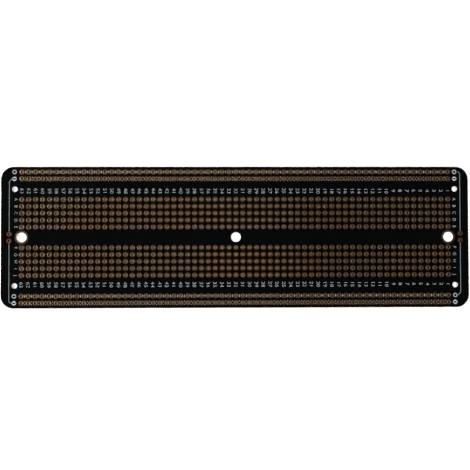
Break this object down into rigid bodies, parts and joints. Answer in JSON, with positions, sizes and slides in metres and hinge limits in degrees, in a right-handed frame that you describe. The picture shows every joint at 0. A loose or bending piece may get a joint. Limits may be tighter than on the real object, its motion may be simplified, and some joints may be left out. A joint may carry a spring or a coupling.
{
  "type": "solderable prototype board",
  "caption": "Bare black solderable board in breadboard layout, with plated holes on a 0.1 inch grid, five-hole strips, power rails and screw holes.",
  "frame": {"origin": "centre of the board, on the axis of the centre screw hole, at the level of the underside tracks", "axes": "+X along the board towards column 1, +Y across it towards row A, +Z out of the printed face"},
  "size_m": [0.1728, 0.052, 0.0017],
  "materials": {
    "board": "glass-epoxy laminate with semi-gloss black solder mask",
    "plating": "gold-plated copper, masked black on the underside tracks",
    "ink": "white printed ink"
  },
  "bodies": {
    "root": {"board": "board", "upper_strips_from_1": "plating", "upper_strips_from_11": "plating", "upper_strips_from_21": "plating", "upper_strips_from_31": "plating", "upper_strips_from_41": "plating", "upper_strips_from_51": "plating", "upper_strips_from_61": "plating", "lower_strips_from_1": "plating", "lower_strips_from_11": "plating", "lower_strips_from_21": "plating", "lower_strips_from_31": "plating", "lower_strips_from_41": "plating", "lower_strips_from_51": "plating", "lower_strips_from_61": "plating", "upper_plus_rail": "plating", "upper_minus_rail": "plating", "lower_plus_rail": "plating", "lower_minus_rail": "plating", "left_screw_ring": "plating", "right_screw_ring": "plating", "upper_plus_marks": "ink", "upper_minus_marks": "ink", "lower_plus_marks": "ink", "lower_minus_marks": "ink", "upper_plus_link_line": "ink", "upper_minus_link_line": "ink", "lower_plus_link_line": "ink", "lower_minus_link_line": "ink"}
  },
  "joints": []
}
